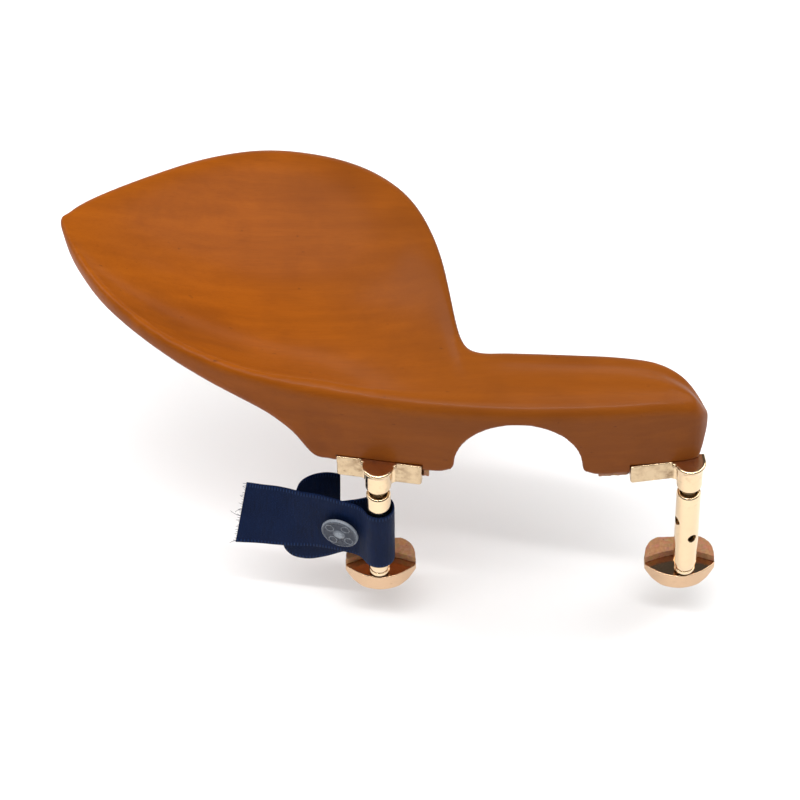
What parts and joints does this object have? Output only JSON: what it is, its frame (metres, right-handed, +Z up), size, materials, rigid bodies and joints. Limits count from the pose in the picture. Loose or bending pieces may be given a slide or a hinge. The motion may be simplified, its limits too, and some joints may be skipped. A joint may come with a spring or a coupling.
{
  "type": "violin chin rest",
  "caption": "Centre-mounted violin chin rest: dished wooden plate arched over the tailpiece, with a pair of cork-lined turnbuckle clamps and a snapped ribbon tag.",
  "frame": {"origin": "on the plane of the two seat corks, under the middle of the arch, level with the plate's rear wall", "axes": "+X to the instrument's treble side, +Y towards its scroll, +Z up from its top"},
  "size_m": [0.1274, 0.0651, 0.0585],
  "materials": {
    "boxwood": "stained and oiled, satin gloss, fine grain",
    "cork": "bare agglomerated cork, matte",
    "gold": "gold-plated, polished",
    "thread": "threaded, slightly oily",
    "screw_steel": "plain turned",
    "ribbon": "navy satin weave",
    "clear_snap": "translucent moulded plastic"
  },
  "bodies": {
    "rest": {"rest_plate": "boxwood", "left_seat_cork": "cork", "t_bracket": "gold", "left_screw_a": "screw_steel", "left_screw_b": "screw_steel", "left_upper_stud": "thread", "right_seat_cork": "cork", "l_bracket": "gold", "right_screw_a": "screw_steel", "right_screw_b": "screw_steel", "right_upper_stud": "thread"},
    "left_carriage": {"left_collar": "gold"},
    "left_turnbuckle": {"left_barrel": "gold"},
    "left_jaw_stud": {"left_lower_stud": "thread"},
    "left_jaw": {"left_foot": "gold", "left_foot_cork": "cork"},
    "right_carriage": {"right_collar": "gold"},
    "right_turnbuckle": {"right_barrel": "gold"},
    "right_jaw_stud": {"right_lower_stud": "thread"},
    "right_jaw": {"right_foot": "gold", "right_foot_cork": "cork"},
    "tag": {"tag_ribbon": "ribbon", "snap_cap": "clear_snap", "snap_socket": "clear_snap"}
  },
  "joints": [
    {"name": "left_carriage_travel", "type": "slide", "parent": "rest", "child": "left_carriage", "axis": [0, 0, -1], "range_m": [-0.00056, 0.0056]},
    {"name": "left_barrel_turn", "type": "hinge", "parent": "left_carriage", "child": "left_turnbuckle", "pos_m": [-0.0264, 0.0006, -0.0152], "axis": [0, 0, 1], "range_deg": [-289, 2881]},
    {"name": "left_foot_travel", "type": "slide", "parent": "left_carriage", "child": "left_jaw_stud", "axis": [0, 0, -1], "range_m": [-0.00057, 0.00561]},
    {"name": "left_foot_swivel", "type": "hinge", "parent": "left_jaw_stud", "child": "left_jaw", "pos_m": [-0.0264, 0.0006, -0.03], "axis": [0, 0, 1], "continuous": true},
    {"name": "right_carriage_travel", "type": "slide", "parent": "rest", "child": "right_carriage", "axis": [0, 0, -1], "range_m": [-0.00056, 0.0056]},
    {"name": "right_barrel_turn", "type": "hinge", "parent": "right_carriage", "child": "right_turnbuckle", "pos_m": [0.0328, 0.0025, -0.0152], "axis": [0, 0, 1], "range_deg": [-289, 2881]},
    {"name": "right_foot_travel", "type": "slide", "parent": "right_carriage", "child": "right_jaw_stud", "axis": [0, 0, -1], "range_m": [-0.00057, 0.00561]},
    {"name": "right_foot_swivel", "type": "hinge", "parent": "right_jaw_stud", "child": "right_jaw", "pos_m": [0.0328, 0.0025, -0.03], "axis": [0, 0, 1], "continuous": true},
    {"name": "tag_swing", "type": "hinge", "parent": "left_carriage", "child": "tag", "pos_m": [-0.0264, 0.0006, -0.016], "axis": [0, 0, 1], "range_deg": [-8, 45]}
  ],
  "couplings": [
    {"joint": "left_barrel_turn", "follows": "left_carriage_travel", "rad_per_m": 8976},
    {"joint": "left_foot_travel", "follows": "left_carriage_travel", "ratio": 1},
    {"joint": "right_barrel_turn", "follows": "right_carriage_travel", "rad_per_m": 8976},
    {"joint": "right_foot_travel", "follows": "right_carriage_travel", "ratio": 1}
  ]
}
